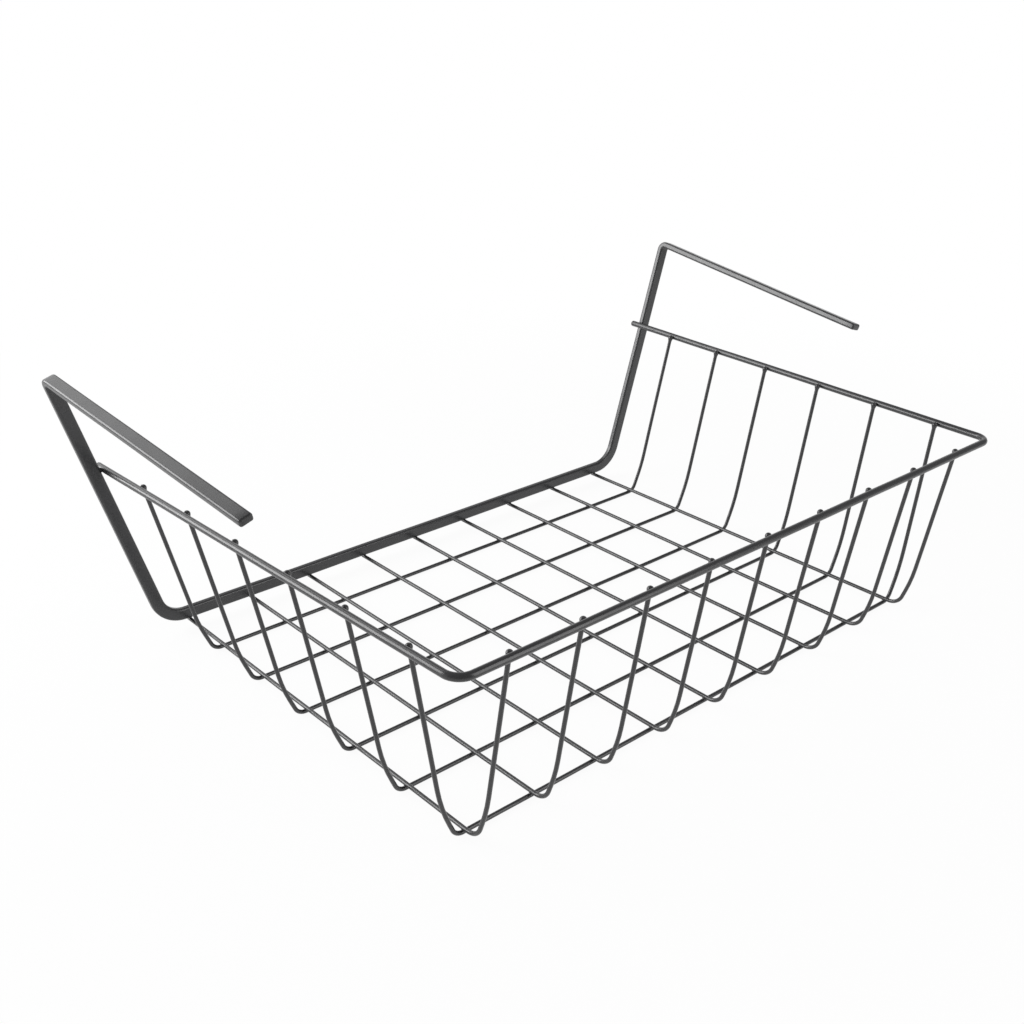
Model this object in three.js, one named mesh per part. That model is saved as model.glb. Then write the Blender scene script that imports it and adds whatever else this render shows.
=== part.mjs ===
import * as THREE from 'three';

// Under-shelf wire basket. Sizes are in millimetres and angles in degrees, with +Z up, the width
// along X and the front towards -Y. The origin is at the middle of the overall box, on the surface
// that the basket stands on.

// Steel stock and welds
const WIRE_DIAMETER = 2.2;
const RIM_DIAMETER = 3.8;
const BAR_WIDTH = 7;
const BAR_THICKNESS = 4;
const BAR_EDGE_RADIUS = 1.2;
const WELD_GAP = 0.2; // between the surfaces of two pieces that are welded together

// Floor grid: long wires run front to back on top of the cross wires
const LONG_WIRE_COUNT = 9;
const LONG_WIRE_PITCH = 40;
const CROSS_WIRE_COUNT = 6;
const CROSS_WIRE_PITCH = 41.4;
const REAR_SPACE = 32.5; // from the bar's front face to the rearmost cross wire
const FRONT_BEND_LEAD = 3; // from the front cross wire to where the long wires start to bend up

// Legs: the wires bend up from the floor, then ease over to their lean in a second, gentle bend
const LONG_BEND_RADIUS = 9; // bend radii are on the centre line
const CROSS_BEND_RADIUS = 6.5; // the cross wires start to bend up under the outermost long wires
const LEG_EASE_HEIGHT = 18; // from a wire's floor run up to where its two leg runs would cross
const LEG_EASE_RADIUS = 90;
const LONG_EASE_REACH = 12.7; // from the start of the first bend out to that crossing
const CROSS_EASE_REACH = 12.2;

// Rim: one heavier wire round the front and both sides
const RIM_HEIGHT = 106; // centre line above the surface that the basket stands on
const RIM_FRONT_REACH = 29.5; // from the start of the long wires' bends out to the rim's front run
const RIM_SIDE_REACH = 29; // from the start of the cross wires' bends out to the rim's front corner
const RIM_CORNER_RADIUS = 8;
const RIM_END_LENGTH = 3.5; // rim wire left standing past the bar's back face
const WIRE_TOP_DROP = 0.7; // wire tops below the top of the rim

// Back frame: one flat bar bent into a bottom run, two flared uprights and two hanging arms
const BAR_CORNER_LEAD = 2.5; // from the outermost long wire to where the bar starts to bend up
const BAR_CORNER_RADIUS = 17;
const UPRIGHT_FLARE = 16.7; // uprights lean outwards from vertical
const ARM_CORNER_HEIGHT = 159.5; // where the centre lines of upright and arm would cross
const ARM_BEND_RADIUS = 3.5;
const ARM_LENGTH = 168; // from that crossing to the arm's free end
const ARM_DROOP = 7.1; // arms are bent this far past square to grip the shelf
const ARM_TOE_IN = 1.1; // uprights are twisted this far, so that the arms close in towards the front

// Facets
const ROUND_SIDES = 12;
const BAR_EDGE_FACETS = 3;
const BEND_FACET_ANGLE = 18;

// Finish: dark grey satin powder coat
const COAT_COLOUR = 0x353537;
const COAT_ROUGHNESS = 0.45;
const COAT_METALNESS = 0.15;

const wireRadius = WIRE_DIAMETER / 2;
const rimRadius = RIM_DIAMETER / 2;
const flare = THREE.MathUtils.degToRad(UPRIGHT_FLARE);
const droop = THREE.MathUtils.degToRad(ARM_DROOP);
const toeIn = THREE.MathUtils.degToRad(ARM_TOE_IN);

// Heights of the stacked pieces
const crossWireHeight = wireRadius;
const longWireHeight = crossWireHeight + WIRE_DIAMETER + WELD_GAP;
const barHeight = longWireHeight + wireRadius + WELD_GAP + BAR_WIDTH / 2;
const wireTopHeight = RIM_HEIGHT + rimRadius - WIRE_TOP_DROP;

// Positions across the width, measured from the middle
const outerLongWire = (LONG_WIRE_PITCH * (LONG_WIRE_COUNT - 1)) / 2;
const rimFrontHalfWidth = outerLongWire + RIM_SIDE_REACH;
const barCornerTurn = Math.PI / 2 - flare;
const barCorner = outerLongWire + BAR_CORNER_LEAD + bendAllowance(BAR_CORNER_RADIUS, barCornerTurn);
const uprightAtRim = barCorner + (RIM_HEIGHT - barHeight) * Math.tan(flare);
const rimBackHalfWidth = uprightAtRim - (BAR_WIDTH / 2 + WELD_GAP + rimRadius) / Math.cos(flare);

// Positions from front to back
const floorDepth = REAR_SPACE + CROSS_WIRE_PITCH * (CROSS_WIRE_COUNT - 1) + FRONT_BEND_LEAD;
const overallDepth = rimRadius + RIM_FRONT_REACH + floorDepth + BAR_THICKNESS + RIM_END_LENGTH;
const rimFront = rimRadius - overallDepth / 2;
const frontBendStart = rimFront + RIM_FRONT_REACH;
const barFront = frontBendStart + floorDepth;
const barMiddle = barFront + BAR_THICKNESS / 2;
const barBack = barFront + BAR_THICKNESS;

// Length that a bend takes from each straight run that meets it.
function bendAllowance(radius, turn) {
  return radius * Math.tan(turn / 2);
}

// Half the rim's width on its centre line: straight sides that widen from the front to the uprights.
function rimHalfWidth(y) {
  const share = (y - rimFront) / (barMiddle - rimFront);
  return THREE.MathUtils.lerp(rimFrontHalfWidth, rimBackHalfWidth, share);
}

// Lean from vertical of a straight run that starts at one point and passes another, which lies reach
// further out and rise higher, at a set distance on the run's inner or outer side.
function leanPast(reach, rise, distance) {
  return Math.atan2(reach, rise) - Math.asin(distance / Math.hypot(reach, rise));
}

// A wire that bends up from the floor, eases over and leans against the inner side of the rim: the
// points where its runs would cross and its top, as distances out from the start of its bend.
function risingWire(floorHeight, bendRadius, easeReach, rimReach) {
  const easeHeight = floorHeight + LEG_EASE_HEIGHT;
  const rimClearance = rimRadius + WELD_GAP + wireRadius;
  const lowerLean = leanPast(easeReach, LEG_EASE_HEIGHT - bendRadius, bendRadius);
  const upperLean = leanPast(rimReach - easeReach, RIM_HEIGHT - easeHeight, rimClearance);
  return [
    { out: bendAllowance(bendRadius, Math.PI / 2 - lowerLean), height: floorHeight },
    { out: easeReach, height: easeHeight },
    { out: easeReach + (wireTopHeight - easeHeight) * Math.tan(upperLean), height: wireTopHeight },
  ];
}

// A centre line of straight runs joined by round bends, kept as the stations where the section sits.
// The section turns with each bend, and twists along a straight run only where a twist is given.
class BentLine extends THREE.Curve {
  constructor(corners, bendRadii, sectionAxis, runTwists = []) {
    super();
    this.points = [];
    this.tangents = [];
    this.normals = [];
    const runs = corners.slice(1).map((corner, i) => corner.clone().sub(corners[i]).normalize());
    const normal = sectionAxis.clone();
    this.addStation(corners[0], runs[0], normal);
    bendRadii.forEach((radius, i) => {
      normal.applyAxisAngle(runs[i], runTwists[i] ?? 0);
      this.addBend(corners[i + 1], runs[i], runs[i + 1], radius, normal);
    });
    this.addStation(corners.at(-1), runs.at(-1), normal);
  }

  addStation(point, tangent, normal) {
    this.points.push(point.clone());
    this.tangents.push(tangent.clone());
    this.normals.push(normal.clone());
  }

  addBend(corner, runIn, runOut, radius, normal) {
    const turn = runIn.angleTo(runOut);
    const axis = runIn.clone().cross(runOut).normalize();
    const start = corner.clone().addScaledVector(runIn, -bendAllowance(radius, turn));
    const spoke = runIn.clone().cross(axis).multiplyScalar(radius);
    const centre = start.clone().sub(spoke);
    const facets = Math.ceil(turn / THREE.MathUtils.degToRad(BEND_FACET_ANGLE));
    for (let i = 0; i <= facets; i += 1) {
      const angle = (turn * i) / facets;
      const point = spoke.clone().applyAxisAngle(axis, angle).add(centre);
      const tangent = runIn.clone().applyAxisAngle(axis, angle);
      this.addStation(point, tangent, normal.clone().applyAxisAngle(axis, angle));
    }
    normal.applyAxisAngle(axis, turn);
  }

  getSpacedPoints() {
    return this.points;
  }

  computeFrenetFrames() {
    const binormals = this.tangents.map((tangent, i) => tangent.clone().cross(this.normals[i]));
    return { tangents: this.tangents, normals: this.normals, binormals };
  }
}

// Round section drawn as a polygon whose flats lie on the stated diameter.
function roundSection(diameter) {
  const cornerRadius = diameter / 2 / Math.cos(Math.PI / ROUND_SIDES);
  const points = [];
  for (let i = 0; i < ROUND_SIDES; i += 1) {
    const angle = ((i + 0.5) * 2 * Math.PI) / ROUND_SIDES;
    points.push(new THREE.Vector2(cornerRadius * Math.cos(angle), cornerRadius * Math.sin(angle)));
  }
  return new THREE.Shape(points);
}

// Flat bar section with rounded edges, its width along the section's first axis.
function barSection() {
  const halfWidth = BAR_WIDTH / 2 - BAR_EDGE_RADIUS;
  const halfThickness = BAR_THICKNESS / 2 - BAR_EDGE_RADIUS;
  const edgeCentres = [[1, 1], [-1, 1], [-1, -1], [1, -1]];
  const points = [];
  edgeCentres.forEach(([side, face], quarter) => {
    for (let i = 0; i <= BAR_EDGE_FACETS; i += 1) {
      const angle = ((quarter + i / BAR_EDGE_FACETS) * Math.PI) / 2;
      const x = side * halfWidth + BAR_EDGE_RADIUS * Math.cos(angle);
      const y = face * halfThickness + BAR_EDGE_RADIUS * Math.sin(angle);
      points.push(new THREE.Vector2(x, y));
    }
  });
  return new THREE.Shape(points);
}

function sweptPiece(name, section, centreLine) {
  const steps = centreLine.points.length - 1;
  const geometry = new THREE.ExtrudeGeometry(section, { steps, extrudePath: centreLine });
  const material = new THREE.MeshStandardMaterial({
    color: COAT_COLOUR,
    roughness: COAT_ROUGHNESS,
    metalness: COAT_METALNESS,
  });
  const piece = new THREE.Mesh(geometry, material);
  piece.name = name;
  return piece;
}

// One U-shaped wire across the floor, up both sides to the rim.
function crossWire(index) {
  const y = barFront - REAR_SPACE - index * CROSS_WIRE_PITCH;
  const rimReach = rimHalfWidth(y) - outerLongWire;
  const leg = risingWire(crossWireHeight, CROSS_BEND_RADIUS, CROSS_EASE_REACH, rimReach);
  const right = leg.map(({ out, height }) => new THREE.Vector3(outerLongWire + out, y, height));
  const left = leg.map(({ out, height }) => new THREE.Vector3(-outerLongWire - out, y, height));
  const corners = [...left.reverse(), ...right];
  const radii = [LEG_EASE_RADIUS, CROSS_BEND_RADIUS, CROSS_BEND_RADIUS, LEG_EASE_RADIUS];
  const centreLine = new BentLine(corners, radii, new THREE.Vector3(0, 1, 0));
  return sweptPiece(`cross_wire_${index + 1}`, roundSection(WIRE_DIAMETER), centreLine);
}

// One L-shaped wire from under the bar along the floor, up the front to the rim.
function longWire(index) {
  const x = index * LONG_WIRE_PITCH - outerLongWire;
  const leg = risingWire(longWireHeight, LONG_BEND_RADIUS, LONG_EASE_REACH, RIM_FRONT_REACH);
  const front = leg.map(({ out, height }) => new THREE.Vector3(x, frontBendStart - out, height));
  const corners = [new THREE.Vector3(x, barBack, longWireHeight), ...front];
  const radii = [LONG_BEND_RADIUS, LEG_EASE_RADIUS];
  const centreLine = new BentLine(corners, radii, new THREE.Vector3(1, 0, 0));
  return sweptPiece(`long_wire_${index + 1}`, roundSection(WIRE_DIAMETER), centreLine);
}

// The rim: from the left upright along the side, across the front and back to the right upright.
function rimWire() {
  const end = barBack + RIM_END_LENGTH;
  const corners = [
    new THREE.Vector3(-rimHalfWidth(end), end, RIM_HEIGHT),
    new THREE.Vector3(-rimFrontHalfWidth, rimFront, RIM_HEIGHT),
    new THREE.Vector3(rimFrontHalfWidth, rimFront, RIM_HEIGHT),
    new THREE.Vector3(rimHalfWidth(end), end, RIM_HEIGHT),
  ];
  const sectionAxis = new THREE.Vector3(0, 0, 1);
  const centreLine = new BentLine(corners, [RIM_CORNER_RADIUS, RIM_CORNER_RADIUS], sectionAxis);
  return sweptPiece('rim_wire', roundSection(RIM_DIAMETER), centreLine);
}

// One side of the back frame: its arm's free end, its top corner, its bottom corner and the direction
// across its arm. The upright's twist turns the arm in.
function frameSide(side) {
  const upright = new THREE.Vector3(side * Math.sin(flare), 0, Math.cos(flare));
  const across = new THREE.Vector3(Math.cos(flare), 0, -side * Math.sin(flare));
  const forward = new THREE.Vector3(0, -1, 0);
  across.applyAxisAngle(upright, -side * toeIn);
  forward.applyAxisAngle(upright, -side * toeIn);
  const arm = forward.multiplyScalar(Math.cos(droop)).addScaledVector(upright, -Math.sin(droop));
  const bottom = new THREE.Vector3(side * barCorner, barMiddle, barHeight);
  const uprightLength = (ARM_CORNER_HEIGHT - barHeight) / Math.cos(flare);
  const top = bottom.clone().addScaledVector(upright, uprightLength);
  const free = top.clone().addScaledVector(arm, ARM_LENGTH);
  return { free, top, bottom, across };
}

// The flat bar from one arm's free end to the other's, its wide faces towards the front and back.
function backFrame() {
  const left = frameSide(-1);
  const right = frameSide(1);
  const corners = [left.free, left.top, left.bottom, right.bottom, right.top, right.free];
  const radii = [ARM_BEND_RADIUS, BAR_CORNER_RADIUS, BAR_CORNER_RADIUS, ARM_BEND_RADIUS];
  const twists = [0, toeIn, 0, -toeIn];
  return sweptPiece('back_frame', barSection(), new BentLine(corners, radii, left.across, twists));
}

const basket = new THREE.Group();
basket.name = 'under_shelf_basket';
basket.add(backFrame(), rimWire());
for (let i = 0; i < CROSS_WIRE_COUNT; i += 1) {
  basket.add(crossWire(i));
}
for (let i = 0; i < LONG_WIRE_COUNT; i += 1) {
  basket.add(longWire(i));
}

export default basket;
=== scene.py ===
# Under-shelf wire basket: the surface of each welded piece, its powder coat, the light and the view.
# Sizes are in metres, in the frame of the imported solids: +Z up, width along X, front towards -Y.
import math

import bmesh
import bpy
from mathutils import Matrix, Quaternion, Vector, noise


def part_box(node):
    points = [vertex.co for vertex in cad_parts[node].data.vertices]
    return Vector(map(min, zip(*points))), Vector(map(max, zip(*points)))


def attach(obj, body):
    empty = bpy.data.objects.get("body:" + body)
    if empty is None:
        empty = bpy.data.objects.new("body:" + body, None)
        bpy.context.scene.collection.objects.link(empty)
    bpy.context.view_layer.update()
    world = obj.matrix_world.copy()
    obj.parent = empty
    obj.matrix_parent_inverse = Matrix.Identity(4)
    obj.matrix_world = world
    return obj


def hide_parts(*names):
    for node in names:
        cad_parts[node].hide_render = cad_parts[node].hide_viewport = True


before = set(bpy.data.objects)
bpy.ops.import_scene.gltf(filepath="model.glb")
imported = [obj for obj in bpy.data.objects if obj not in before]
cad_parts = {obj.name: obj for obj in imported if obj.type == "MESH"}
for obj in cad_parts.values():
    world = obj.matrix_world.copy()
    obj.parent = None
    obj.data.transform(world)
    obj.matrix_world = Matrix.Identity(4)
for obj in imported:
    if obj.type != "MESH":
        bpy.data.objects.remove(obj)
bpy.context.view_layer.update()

MM = 0.001
WHOLE = (0, 1)

# Steel stock and welds
WIRE_RADIUS = 1.1 * MM
RIM_RADIUS = 1.9 * MM
BAR_WIDTH = 7 * MM
BAR_THICKNESS = 4 * MM
BAR_EDGE_RADIUS = 1.2 * MM
WELD_GAP = 0.2 * MM

# Bends, on the centre lines
LONG_BEND_RADIUS = 9 * MM
CROSS_BEND_RADIUS = 6.5 * MM
LEG_EASE_HEIGHT = 18 * MM
LEG_EASE_RADIUS = 90 * MM
LONG_EASE_REACH = 12.7 * MM
CROSS_EASE_REACH = 12.2 * MM
RIM_CORNER_RADIUS = 8 * MM
BAR_CORNER_RADIUS = 17 * MM
BAR_CORNER_LEAD = 2.5 * MM
ARM_BEND_RADIUS = 3.5 * MM

# Rim and back frame
RIM_FRONT_REACH = 29.5 * MM
RIM_SIDE_REACH = 29 * MM
RIM_END_LENGTH = 3.5 * MM
WIRE_TOP_DROP = 0.7 * MM
UPRIGHT_FLARE = math.radians(16.7)
ARM_CORNER_HEIGHT = 159.5 * MM
ARM_LENGTH = 168 * MM
ARM_DROOP = math.radians(7.1)
ARM_TOE_IN = math.radians(1.1)

# Cut ends: how far they are rounded, and how far the welded wire tops swell
WIRE_END_ROUNDING = 0.7 * MM
RIM_END_ROUNDING = 0.8 * MM
BAR_END_ROUNDING = 1.1 * MM
WIRE_TOP_SWELL = 0.55 * MM
WIRE_TOP_ROUNDING = 1.55 * MM
WIRE_TOP_TAPER = 2.5 * MM

# Weld metal: radius and half the height of each kind
CROSSING_WELD = (1.05 * MM, 0.7 * MM)
RIM_WELD = (1.05 * MM, 0.85 * MM)
BAR_WELD = (1.3 * MM, 0.7 * MM)
UPRIGHT_WELD = (1.5 * MM, 1.0 * MM)
RIM_WELD_DROP = 0.7 * MM  # down the wire from the middle of the rim
WELD_RUN_OUT = 0.5  # share of the radius that its ends gain one way and lose the other
WELD_WAIST = 0.12  # share of the radius that its middle is drawn in
# How far the darkening round each weld reaches: weld stain and painted shade where the pieces meet
WELD_STAIN_AND_SHADE_REACH = 3.5 * MM

# Slight unevenness of hand-fed wire
WAVER = 0.12 * MM
WAVER_LENGTH = 55 * MM
WAVER_SEED = 11

# Fineness of the meshes
BEND_STEP = math.radians(4)
RUN_STEP = 6 * MM
ROUND_SIDES = 20
EDGE_STEPS = 5
END_STEPS = 6
FACE_SUPPORT = 0.25 * MM
LEAST_ROUNDING = 0.1 * MM
WELD_RINGS = 8
WELD_SIDES = 20

# Powder coat: colours, gloss and relief, and how many cells of noise each has per metre
COAT_IOR = 1.5
COAT_COLOUR = (0.034, 0.034, 0.0355, 1)
FLECK_COLOUR = (0.040, 0.040, 0.042, 1)
FLECK_FINENESS = 2600
# Darker colour at the welds and how strongly it shows: weld stain and painted shade where the pieces
# meet
STAIN_AND_SHADE_COLOUR = (0.019, 0.019, 0.020, 1)
STAIN_AND_SHADE_STRENGTH = 0.5
GLOSS_PATCHES = (0.23, 0.30)
PATCH_FINENESS = 90
GLOSS_GRAIN = (-0.02, 0.02)
GRAIN_FINENESS = 1800
PEEL_STRENGTH = 0.04
PEEL_DEPTH = 0.05 * MM
PEEL_FINENESS = 1300
FINE_DETAIL = 2
PATCH_DETAIL = 3
NOISE_SPAN = (0.3, 0.7)

# Camera of the photograph
CAMERA_PLACE = Vector((-0.447517, -0.457395, 0.366901))
CAMERA_YAW = math.radians(41.810)
CAMERA_PITCH = math.radians(-24.960)
CAMERA_ROLL = math.radians(0.662)
CAMERA_LENS = 45.373
SENSOR_WIDTH = 36
CLIP_START = 0.01

# Softboxes: place, width and height, power in watts
LIT_PLACE = Vector((0, 0, 0.08))
REAR_BOX = (Vector((-0.17, 1.21, 1.03)), (0.8, 0.9), 5)
REAR_LEFT_BOX = (Vector((-1.02, 1.03, 0.64)), (0.85, 1.0), 20)
FRONT_RIGHT_BOX = (Vector((0.38, -0.85, 0.40)), (0.42, 0.95), 4)

# Floor and surroundings: the share of the floor's own shading that shows close to the basket,
# the heights between which the backdrop fades, and how far round it reaches
FLOOR_REACH = 6.0
FLOOR_FRONT = -0.6
FLOOR_COLOUR = (0.92, 0.92, 0.92, 1)
FLOOR_ROUGHNESS = 0.9
SHADOW_SHARE = 0.06
SHADOW_REACH = (0.3, 0.7)
ROOM_LIGHT = 0.3
HORIZON_BAND = (math.sin(math.radians(10)), math.sin(math.radians(38)))
BACKDROP_EDGE = (-0.1, 0.3)

UP = Vector((0, 0, 1))
LEFT_TO_RIGHT = Vector((1, 0, 0))
FRONT_TO_BACK = Vector((0, 1, 0))

# Places read from the frame
COLUMNS = sorted(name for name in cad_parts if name.startswith("long_wire"))
ROWS = sorted(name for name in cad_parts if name.startswith("cross_wire"))


def box_middle(node):
    """Middle of a solid's box."""
    low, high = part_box(node)
    return (low + high) / 2


column_x = [box_middle(name).x for name in COLUMNS]
row_y = [box_middle(name).y for name in ROWS]
rim_height = box_middle("rim_wire").z
bar_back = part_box(COLUMNS[0])[1].y
bar_middle = bar_back - BAR_THICKNESS / 2
cross_height = WIRE_RADIUS
long_height = cross_height + 2 * WIRE_RADIUS + WELD_GAP
bar_bottom = long_height + WIRE_RADIUS + WELD_GAP
bar_height = bar_bottom + BAR_WIDTH / 2
wire_top_height = rim_height + RIM_RADIUS - WIRE_TOP_DROP
outer_column = max(column_x)
rim_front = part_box("rim_wire")[0].y + RIM_RADIUS
front_bend_start = rim_front + RIM_FRONT_REACH
rim_end = bar_back + RIM_END_LENGTH


def bend_allowance(radius, turn):
    """Length that a bend takes from each straight run that meets it."""
    return radius * math.tan(turn / 2)


bar_corner_turn = math.pi / 2 - UPRIGHT_FLARE
bar_corner = outer_column + BAR_CORNER_LEAD + bend_allowance(BAR_CORNER_RADIUS, bar_corner_turn)
upright_at_rim = bar_corner + (rim_height - bar_height) * math.tan(UPRIGHT_FLARE)
rim_front_half_width = outer_column + RIM_SIDE_REACH
rim_back_half_width = upright_at_rim - (BAR_WIDTH / 2 + WELD_GAP + RIM_RADIUS) / math.cos(UPRIGHT_FLARE)


def rim_half_width(y):
    """Half the rim's width: straight sides that widen from the front to the uprights."""
    share = (y - rim_front) / (bar_middle - rim_front)
    return rim_front_half_width + (rim_back_half_width - rim_front_half_width) * share


def lean_past(reach, rise, distance):
    """Lean of a straight run that passes a point, reach further out and rise higher, at a distance."""
    return math.atan2(reach, rise) - math.asin(distance / math.hypot(reach, rise))


def rising_wire(floor_height, bend_radius, ease_reach, rim_reach):
    """Where a leg's runs would cross and where its top is, outwards and up, and its lean at the rim."""
    ease_height = floor_height + LEG_EASE_HEIGHT
    rim_clearance = RIM_RADIUS + WELD_GAP + WIRE_RADIUS
    lower_lean = lean_past(ease_reach, LEG_EASE_HEIGHT - bend_radius, bend_radius)
    upper_lean = lean_past(rim_reach - ease_reach, rim_height - ease_height, rim_clearance)
    leg = [
        (bend_allowance(bend_radius, math.pi / 2 - lower_lean), floor_height),
        (ease_reach, ease_height),
        (ease_reach + (wire_top_height - ease_height) * math.tan(upper_lean), wire_top_height),
    ]
    return leg, upper_lean


# Centre lines

def bent_line(corners, radii, section_axis, twists=()):
    """Stations of point, tangent and section axis along straight runs joined by round bends.

    The section turns with each bend, and along a run only where a twist is given for it.
    """
    runs = [(end - start).normalized() for start, end in zip(corners, corners[1:])]
    normal = section_axis.copy()
    stations = [(corners[0], runs[0], normal)]
    for i, radius in enumerate(radii):
        run_in, run_out = runs[i], runs[i + 1]
        if twists:
            normal = Quaternion(run_in, twists[i]) @ normal
        turn = run_in.angle(run_out)
        axis = run_in.cross(run_out).normalized()
        spoke = run_in.cross(axis) * radius
        centre = corners[i + 1] - run_in * bend_allowance(radius, turn) - spoke
        steps = math.ceil(turn / BEND_STEP)
        for k in range(steps + 1):
            spin = Quaternion(axis, turn * k / steps)
            stations.append((centre + spin @ spoke, spin @ run_in, spin @ normal))
        normal = Quaternion(axis, turn) @ normal
    stations.append((corners[-1], runs[-1], normal))
    return stations


def fill_runs(stations):
    """Add stations along the straight runs, so that they can twist, waver and take the darkening at the
    welds, a weld stain and painted shade where the pieces meet.
    """
    filled = []
    for here, following in zip(stations, stations[1:]):
        filled.append(here)
        count = int((following[0] - here[0]).length / RUN_STEP)
        for i in range(1, count):
            point, tangent, normal = (a.lerp(b, i / count) for a, b in zip(here, following))
            filled.append((point, tangent.normalized(), normal.normalized()))
    filled.append(stations[-1])
    return filled


def wavered(stations, seed):
    """Move each station by a slow, small noise."""
    shift = Vector((seed, 2 * seed, 3 * seed))
    return [
        (point + WAVER * noise.noise_vector(point / WAVER_LENGTH + shift), tangent, normal)
        for point, tangent, normal in stations
    ]


# Sections: each gives its ring of points for an inset from the full size

def away(point, distance, angle):
    """The point that lies at a distance and an angle from another."""
    return point[0] + distance * math.cos(angle), point[1] + distance * math.sin(angle)


def round_section(radius):
    """Round wire."""
    def ring(inset):
        angles = [2 * math.pi * i / ROUND_SIDES for i in range(ROUND_SIDES)]
        return [away((0, 0), radius - inset, angle) for angle in angles]
    return ring


def bar_section(inset):
    """Flat bar with rounded edges, its width along the first axis. Extra points keep the faces flat."""
    rounding = max(BAR_EDGE_RADIUS - inset, LEAST_ROUNDING)
    half_width = BAR_WIDTH / 2 - inset - rounding
    half_thickness = BAR_THICKNESS / 2 - inset - rounding
    points = []
    for quarter, (side, face) in enumerate([(1, 1), (-1, 1), (-1, -1), (1, -1)]):
        centre = (side * half_width, face * half_thickness)
        angles = [(quarter + i / EDGE_STEPS) * math.pi / 2 for i in range(EDGE_STEPS + 1)]
        arc = [away(centre, rounding, angle) for angle in angles]
        before_arc = away(arc[0], FACE_SUPPORT, (quarter - 1) * math.pi / 2)
        after_arc = away(arc[-1], FACE_SUPPORT, (quarter + 2) * math.pi / 2)
        points += [before_arc, *arc, after_arc]
    return points


# Ends: each is a list of depths from the tip with the section's inset there

def rounded_end(rounding):
    """A cut end whose edge is rounded off."""
    angles = [math.pi / 2 * i / END_STEPS for i in range(END_STEPS + 1)]
    return [(rounding * (1 - math.cos(a)), rounding * (1 - math.sin(a))) for a in angles]


def swollen_end():
    """A wire top that welding has rounded and swollen."""
    end = [(depth, inset - WIRE_TOP_SWELL) for depth, inset in rounded_end(WIRE_TOP_ROUNDING)]
    for i in range(1, END_STEPS + 1):
        share = i / END_STEPS
        swell = WIRE_TOP_SWELL * (1 + math.cos(math.pi * share)) / 2
        end.append((WIRE_TOP_ROUNDING + WIRE_TOP_TAPER * share, -swell))
    return end


# Meshes

def join_loops(mesh, loops):
    """Skin rings of points into a closed tube."""
    for lower, upper in zip(loops, loops[1:]):
        for i in range(len(lower)):
            k = (i + 1) % len(lower)
            mesh.faces.new((lower[i], lower[k], upper[k], upper[i]))
    mesh.faces.new(list(reversed(loops[0])))
    mesh.faces.new(loops[-1])


def sweep(mesh, stations, section, start_end, finish_end):
    """Skin a section along the stations, with the given ends."""
    first, last = stations[0], stations[-1]
    rings = [((first[0] + first[1] * depth, *first[1:]), inset) for depth, inset in start_end]
    rings += [(station, 0) for station in stations[1:-1]]
    rings += [((last[0] - last[1] * depth, *last[1:]), inset) for depth, inset in reversed(finish_end)]
    loops = []
    for (point, tangent, normal), inset in rings:
        side = tangent.cross(normal)
        loops.append([mesh.verts.new(point + normal * a + side * b) for a, b in section(inset)])
    join_loops(mesh, loops)


def weld_saddle(mesh, contact, up, along, size):
    """Weld metal between two pieces that cross: it runs out along the upper one and across below."""
    across = up.cross(along)
    radius, half_height = size
    loops = []
    for i in range(WELD_RINGS + 1):
        level = 2 * i / WELD_RINGS - 1
        loop = []
        for k in range(WELD_SIDES):
            angle = 2 * math.pi * k / WELD_SIDES
            spread = 1 + WELD_RUN_OUT * level * math.cos(2 * angle) - WELD_WAIST * (1 - level * level)
            outward = along * math.cos(angle) + across * math.sin(angle)
            point = contact + up * (level * half_height) + outward * (radius * spread)
            loop.append(mesh.verts.new(point))
        loops.append(loop)
    join_loops(mesh, loops)


def stain_and_shade_at_welds(mesh, welds):
    """Vertex value that falls from 1 at a weld to 0 at the end of its reach: it marks the weld stain
    and the painted shade where the pieces meet.
    """
    layer = mesh.verts.layers.float.new("weld")
    for vert in mesh.verts:
        nearest = min((vert.co - place).length for place in welds)
        vert[layer] = max(0.0, 1 - nearest / WELD_STAIN_AND_SHADE_REACH) ** 2


def finish_piece(name, mesh, welds, material):
    """Make the object of a mesh, in the place of the node whose name it takes."""
    # Darken round the welds: weld stain and painted shade where the pieces meet
    stain_and_shade_at_welds(mesh, welds)
    bmesh.ops.recalc_face_normals(mesh, faces=mesh.faces)
    data = bpy.data.meshes.new(name)
    mesh.to_mesh(data)
    mesh.free()
    data.shade_smooth()
    data.materials.append(material)
    piece = bpy.data.objects.new(name + "_coated", data)
    bpy.context.scene.collection.objects.link(piece)
    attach(piece, "root")
    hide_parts(name)


# Welds

def upright_run(side):
    """Direction in which an upright rises."""
    return Vector((side * math.sin(UPRIGHT_FLARE), 0, math.cos(UPRIGHT_FLARE)))


def crossing(x, y):
    """Where a long wire lies on a cross wire."""
    return Vector((x, y, cross_height + WIRE_RADIUS + WELD_GAP / 2))


def rim_weld(mesh, rim_point, wire_run, outward):
    """Weld between the rim and a wire that leans against its inner side."""
    inward = -(outward - outward.project(wire_run)).normalized()
    contact = rim_point + inward * (RIM_RADIUS + WELD_GAP / 2) - wire_run * RIM_WELD_DROP
    weld_saddle(mesh, contact, inward, wire_run, RIM_WELD)
    return contact


def bar_weld(mesh, x):
    """Weld between a long wire and the underside of the bar."""
    contact = Vector((x, bar_middle, bar_bottom - WELD_GAP / 2))
    weld_saddle(mesh, contact, UP, LEFT_TO_RIGHT, BAR_WELD)
    return contact


def upright_weld(mesh, side):
    """Weld between the end of the rim and the inner edge of an upright."""
    outward = Vector((side * math.cos(UPRIGHT_FLARE), 0, -math.sin(UPRIGHT_FLARE)))
    rim_point = Vector((side * rim_half_width(bar_middle), bar_middle, rim_height))
    contact = rim_point + outward * (RIM_RADIUS + WELD_GAP / 2)
    weld_saddle(mesh, contact, outward, upright_run(side), UPRIGHT_WELD)
    return contact


# Pieces

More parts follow.
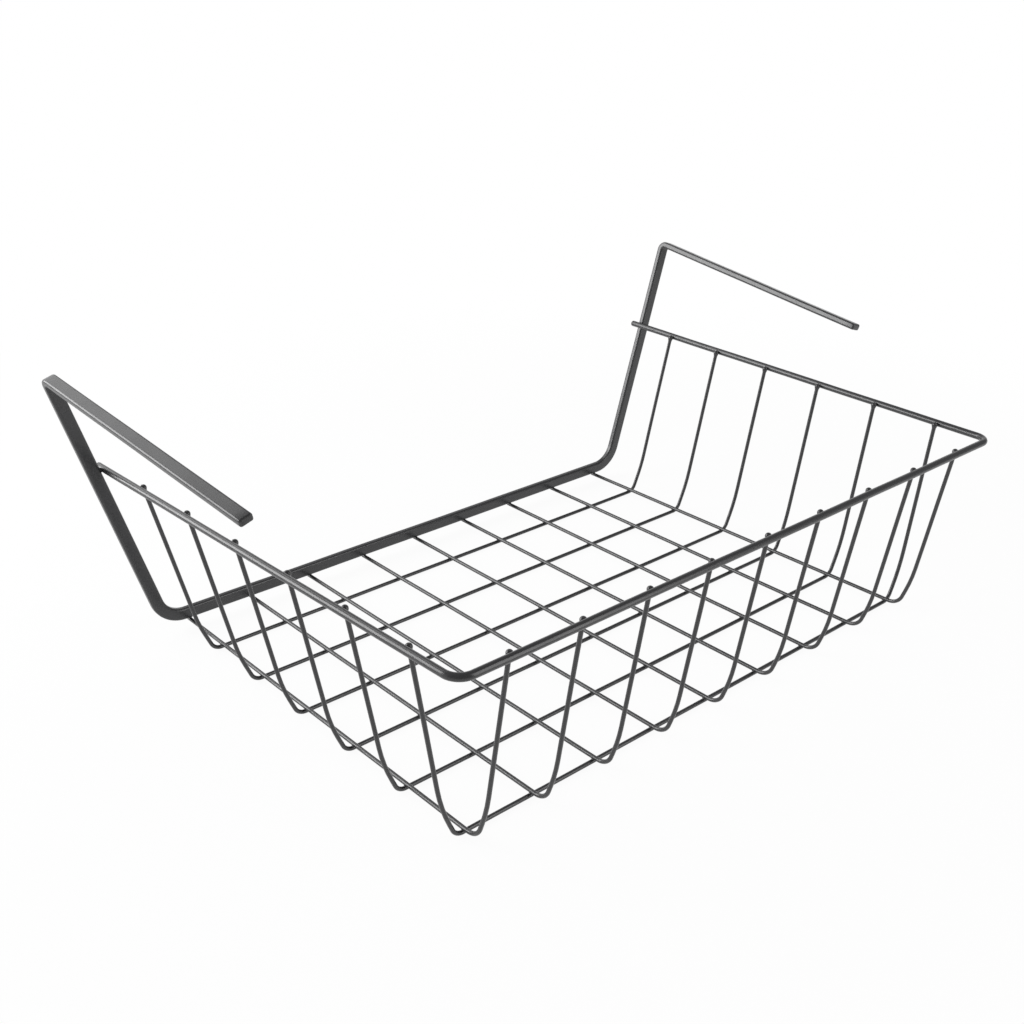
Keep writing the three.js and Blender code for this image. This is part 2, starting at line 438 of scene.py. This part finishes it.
def cross_wire(index, material):
    """U-shaped wire across the floor, up both sides to the rim."""
    y = row_y[index]
    rim_reach = rim_half_width(y) - outer_column
    leg, lean = rising_wire(cross_height, CROSS_BEND_RADIUS, CROSS_EASE_REACH, rim_reach)
    left = [Vector((-outer_column - out, y, height)) for out, height in reversed(leg)]
    right = [Vector((outer_column + out, y, height)) for out, height in leg]
    radii = [LEG_EASE_RADIUS, CROSS_BEND_RADIUS, CROSS_BEND_RADIUS, LEG_EASE_RADIUS]
    line = fill_runs(bent_line(left + right, radii, FRONT_TO_BACK))
    mesh = bmesh.new()
    sweep(mesh, wavered(line, index), round_section(WIRE_RADIUS), swollen_end(), swollen_end())
    welds = [crossing(x, y) for x in column_x]
    for contact in welds:
        weld_saddle(mesh, contact, UP, FRONT_TO_BACK, CROSSING_WELD)
    for side in (-1, 1):
        run = Vector((side * math.sin(lean), 0, math.cos(lean)))
        rim_point = Vector((side * rim_half_width(y), y, rim_height))
        welds.append(rim_weld(mesh, rim_point, run, side * LEFT_TO_RIGHT))
    finish_piece(ROWS[index], mesh, welds, material)


def long_wire(index, material):
    """L-shaped wire from under the bar along the floor, up the front to the rim."""
    x = column_x[index]
    leg, lean = rising_wire(long_height, LONG_BEND_RADIUS, LONG_EASE_REACH, RIM_FRONT_REACH)
    corners = [Vector((x, bar_back, long_height))]
    corners += [Vector((x, front_bend_start - out, height)) for out, height in leg]
    line = fill_runs(bent_line(corners, [LONG_BEND_RADIUS, LEG_EASE_RADIUS], LEFT_TO_RIGHT))
    mesh = bmesh.new()
    seed = len(ROWS) + index
    cut_end = rounded_end(WIRE_END_ROUNDING)
    sweep(mesh, wavered(line, seed), round_section(WIRE_RADIUS), cut_end, swollen_end())
    run = Vector((0, -math.sin(lean), math.cos(lean)))
    welds = [crossing(x, y) for y in row_y]
    welds.append(rim_weld(mesh, Vector((x, rim_front, rim_height)), run, -FRONT_TO_BACK))
    welds.append(bar_weld(mesh, x))
    finish_piece(COLUMNS[index], mesh, welds, material)


def rim_wire(material):
    """Heavier wire round the front and both sides."""
    corners = [
        Vector((-rim_half_width(rim_end), rim_end, rim_height)),
        Vector((-rim_front_half_width, rim_front, rim_height)),
        Vector((rim_front_half_width, rim_front, rim_height)),
        Vector((rim_half_width(rim_end), rim_end, rim_height)),
    ]
    line = fill_runs(bent_line(corners, [RIM_CORNER_RADIUS, RIM_CORNER_RADIUS], UP))
    mesh = bmesh.new()
    seed = len(ROWS) + len(COLUMNS)
    cut_end = rounded_end(RIM_END_ROUNDING)
    sweep(mesh, wavered(line, seed), round_section(RIM_RADIUS), cut_end, cut_end)
    welds = [upright_weld(mesh, side) for side in (-1, 1)]
    welds += [Vector((x, rim_front + RIM_RADIUS, rim_height)) for x in column_x]
    for side in (-1, 1):
        welds += [Vector((side * (rim_half_width(y) - RIM_RADIUS), y, rim_height)) for y in row_y]
    finish_piece("rim_wire", mesh, welds, material)


def frame_side(side):
    """An arm's free end, its top corner, the corner below it, and the direction across the arm."""
    upright = upright_run(side)
    toe_in = Quaternion(upright, -side * ARM_TOE_IN)
    across = toe_in @ Vector((math.cos(UPRIGHT_FLARE), 0, -side * math.sin(UPRIGHT_FLARE)))
    forward = toe_in @ -FRONT_TO_BACK
    arm = forward * math.cos(ARM_DROOP) - upright * math.sin(ARM_DROOP)
    bottom = Vector((side * bar_corner, bar_middle, bar_height))
    top = bottom + upright * ((ARM_CORNER_HEIGHT - bar_height) / math.cos(UPRIGHT_FLARE))
    return top + arm * ARM_LENGTH, top, bottom, across


def back_frame(material):
    """Flat bar from one arm's free end, down an upright, along the bottom and up to the other arm."""
    left_free, left_top, left_bottom, left_across = frame_side(-1)
    right_free, right_top, right_bottom, _ = frame_side(1)
    corners = [left_free, left_top, left_bottom, right_bottom, right_top, right_free]
    radii = [ARM_BEND_RADIUS, BAR_CORNER_RADIUS, BAR_CORNER_RADIUS, ARM_BEND_RADIUS]
    twists = [0, ARM_TOE_IN, 0, -ARM_TOE_IN]
    line = fill_runs(bent_line(corners, radii, left_across, twists))
    mesh = bmesh.new()
    seed = len(ROWS) + len(COLUMNS) + 1
    cut_end = rounded_end(BAR_END_ROUNDING)
    sweep(mesh, wavered(line, seed), bar_section, cut_end, cut_end)
    welds = [Vector((x, bar_middle, bar_bottom)) for x in column_x]
    for side in (-1, 1):
        welds.append(Vector((side * (rim_back_half_width + RIM_RADIUS), bar_middle, rim_height)))
    finish_piece("back_frame", mesh, welds, material)


# Node helpers

def mapped(tree, value, span, result, curve="LINEAR"):
    """Carry a value from one span to another."""
    node = tree.nodes.new("ShaderNodeMapRange")
    node.interpolation_type = curve
    tree.links.new(value, node.inputs["Value"])
    node.inputs["From Min"].default_value, node.inputs["From Max"].default_value = span
    node.inputs["To Min"].default_value, node.inputs["To Max"].default_value = result
    return node.outputs["Result"]


def combined(tree, operation, first, second):
    """Join two values by a sum, a product or the greater of them."""
    node = tree.nodes.new("ShaderNodeMath")
    node.operation = operation
    tree.links.new(first, node.inputs[0])
    tree.links.new(second, node.inputs[1])
    return node.outputs["Value"]


# Finish

def powder_coat():
    """Dark grey satin powder coat: fine orange peel, patchy gloss, tiny flecks, darker at the welds
    with a weld stain and painted shade where the pieces meet.
    """
    material = bpy.data.materials.new("powder_coat")
    material.use_nodes = True
    tree = material.node_tree
    nodes = tree.nodes
    links = tree.links
    shader = nodes["Principled BSDF"]
    shader.inputs["Metallic"].default_value = 0.0
    shader.inputs["IOR"].default_value = COAT_IOR
    place = nodes.new("ShaderNodeTexCoord").outputs["Object"]

    def noise_of(fineness, detail):
        texture = nodes.new("ShaderNodeTexNoise")
        texture.inputs["Scale"].default_value = fineness
        texture.inputs["Detail"].default_value = detail
        links.new(place, texture.inputs["Vector"])
        return texture.outputs["Fac"]

    # Colour: tiny flecks over the grey, darker at the welds: a weld stain there and painted shade where
    # the pieces meet
    fleck = mapped(tree, noise_of(FLECK_FINENESS, FINE_DETAIL), NOISE_SPAN, WHOLE)
    coat = nodes.new("ShaderNodeMix")
    coat.data_type = "RGBA"
    coat.inputs["A"].default_value = COAT_COLOUR
    coat.inputs["B"].default_value = FLECK_COLOUR
    links.new(fleck, coat.inputs["Factor"])
    weld = nodes.new("ShaderNodeAttribute")
    weld.attribute_name = "weld"
    stained_and_shaded = nodes.new("ShaderNodeMix")
    stained_and_shaded.data_type = "RGBA"
    stained_and_shaded.inputs["B"].default_value = STAIN_AND_SHADE_COLOUR
    links.new(mapped(tree, weld.outputs["Fac"], WHOLE, (0, STAIN_AND_SHADE_STRENGTH)), stained_and_shaded.inputs["Factor"])
    links.new(coat.outputs["Result"], stained_and_shaded.inputs["A"])
    links.new(stained_and_shaded.outputs["Result"], shader.inputs["Base Color"])

    # Gloss: satin, with slow patches and a fine grain
    patches = mapped(tree, noise_of(PATCH_FINENESS, PATCH_DETAIL), NOISE_SPAN, GLOSS_PATCHES)
    grain = mapped(tree, noise_of(GRAIN_FINENESS, FINE_DETAIL), NOISE_SPAN, GLOSS_GRAIN)
    links.new(combined(tree, "ADD", patches, grain), shader.inputs["Roughness"])

    # Relief: orange peel of the baked powder
    peel = nodes.new("ShaderNodeBump")
    peel.inputs["Strength"].default_value = PEEL_STRENGTH
    peel.inputs["Distance"].default_value = PEEL_DEPTH
    links.new(noise_of(PEEL_FINENESS, FINE_DETAIL), peel.inputs["Height"])
    links.new(peel.outputs["Normal"], shader.inputs["Normal"])
    return material


# Stage

def floor_material():
    """White floor that keeps the shadow close to the basket and is plain white further out."""
    material = bpy.data.materials.new("floor")
    material.use_nodes = True
    tree = material.node_tree
    nodes = tree.nodes
    links = tree.links
    shader = nodes["Principled BSDF"]
    shader.inputs["Base Color"].default_value = FLOOR_COLOUR
    shader.inputs["Roughness"].default_value = FLOOR_ROUGHNESS

    path = nodes.new("ShaderNodeLightPath")
    seen = path.outputs["Is Camera Ray"]
    for kind in ("Is Glossy Ray", "Is Transmission Ray"):
        seen = combined(tree, "MAXIMUM", seen, path.outputs[kind])
    distance = nodes.new("ShaderNodeVectorMath")
    distance.operation = "LENGTH"
    links.new(nodes.new("ShaderNodeTexCoord").outputs["Object"], distance.inputs[0])
    white_near_and_far = (1 - SHADOW_SHARE, 1)
    whiteness = mapped(tree, distance.outputs["Value"], SHADOW_REACH, white_near_and_far, "SMOOTHSTEP")

    glow = nodes.new("ShaderNodeEmission")
    mix = nodes.new("ShaderNodeMixShader")
    links.new(combined(tree, "MULTIPLY", seen, whiteness), mix.inputs["Fac"])
    links.new(shader.outputs["BSDF"], mix.inputs[1])
    links.new(glow.outputs["Emission"], mix.inputs[2])
    links.new(mix.outputs["Shader"], nodes["Material Output"].inputs["Surface"])
    return material


def floor():
    """Flat floor that ends in front of the basket, where the dim room begins."""
    mesh = bmesh.new()
    left_to_right = (-FLOOR_REACH, FLOOR_REACH)
    front = [mesh.verts.new((x, FLOOR_FRONT, 0)) for x in left_to_right]
    back = [mesh.verts.new((x, FLOOR_REACH, 0)) for x in left_to_right]
    mesh.faces.new((front[0], front[1], back[1], back[0]))
    data = bpy.data.meshes.new("floor")
    mesh.to_mesh(data)
    mesh.free()
    data.materials.append(floor_material())
    plane = bpy.data.objects.new("floor", data)
    bpy.context.scene.collection.objects.link(plane)


def surroundings():
    """A dim room with a low white backdrop behind the basket, plain white where the camera looks."""
    world = bpy.data.worlds.new("surroundings")
    bpy.context.scene.world = world
    world.use_nodes = True
    tree = world.node_tree
    nodes = tree.nodes
    links = tree.links
    direction = nodes.new("ShaderNodeSeparateXYZ")
    links.new(nodes.new("ShaderNodeTexCoord").outputs["Generated"], direction.inputs["Vector"])
    low = mapped(tree, direction.outputs["Z"], HORIZON_BAND, (1, 0), "SMOOTHSTEP")
    behind = mapped(tree, direction.outputs["Y"], BACKDROP_EDGE, WHOLE, "SMOOTHSTEP")
    share = combined(tree, "MULTIPLY", low, behind)
    backdrop = mapped(tree, share, WHOLE, (ROOM_LIGHT, 1), "SMOOTHSTEP")
    seen = nodes.new("ShaderNodeLightPath").outputs["Is Camera Ray"]
    light = nodes["Background"]
    light.inputs["Color"].default_value = (1, 1, 1, 1)
    links.new(combined(tree, "MAXIMUM", backdrop, seen), light.inputs["Strength"])


def softbox(name, box):
    """Rectangular light that faces the basket and that the camera doesn't see."""
    place, size, power = box
    light = bpy.data.lights.new(name, "AREA")
    light.shape = "RECTANGLE"
    light.size, light.size_y = size
    light.energy = power
    lamp = bpy.data.objects.new(name, light)
    lamp.location = place
    lamp.rotation_euler = (LIT_PLACE - place).to_track_quat("-Z", "Y").to_euler()
    lamp.visible_camera = False
    bpy.context.scene.collection.objects.link(lamp)


def camera():
    """Camera at the place and angle from which the photograph was taken."""
    forward = Vector((
        math.sin(CAMERA_YAW) * math.cos(CAMERA_PITCH),
        math.cos(CAMERA_YAW) * math.cos(CAMERA_PITCH),
        math.sin(CAMERA_PITCH),
    ))
    level = Vector((math.cos(CAMERA_YAW), -math.sin(CAMERA_YAW), 0))
    right = Quaternion(forward, -CAMERA_ROLL) @ level
    up = right.cross(forward)
    data = bpy.data.cameras.new("camera")
    data.lens = CAMERA_LENS
    data.sensor_width = SENSOR_WIDTH
    data.clip_start = CLIP_START
    view = bpy.data.objects.new("camera", data)
    matrix = view.matrix_world.copy()
    for i, axis in enumerate((right, up, -forward)):
        for k in range(3):
            matrix[k][i] = axis[k]
    matrix.translation = CAMERA_PLACE
    view.matrix_world = matrix
    bpy.context.scene.collection.objects.link(view)
    bpy.context.scene.camera = view


def build():
    noise.seed_set(WAVER_SEED)
    coat = powder_coat()
    back_frame(coat)
    rim_wire(coat)
    for index in range(len(ROWS)):
        cross_wire(index, coat)
    for index in range(len(COLUMNS)):
        long_wire(index, coat)
    floor()
    surroundings()
    softbox("rear", REAR_BOX)
    softbox("rear_left", REAR_LEFT_BOX)
    softbox("front_right", FRONT_RIGHT_BOX)
    camera()
    bpy.context.scene.view_settings.view_transform = "Standard"


build()
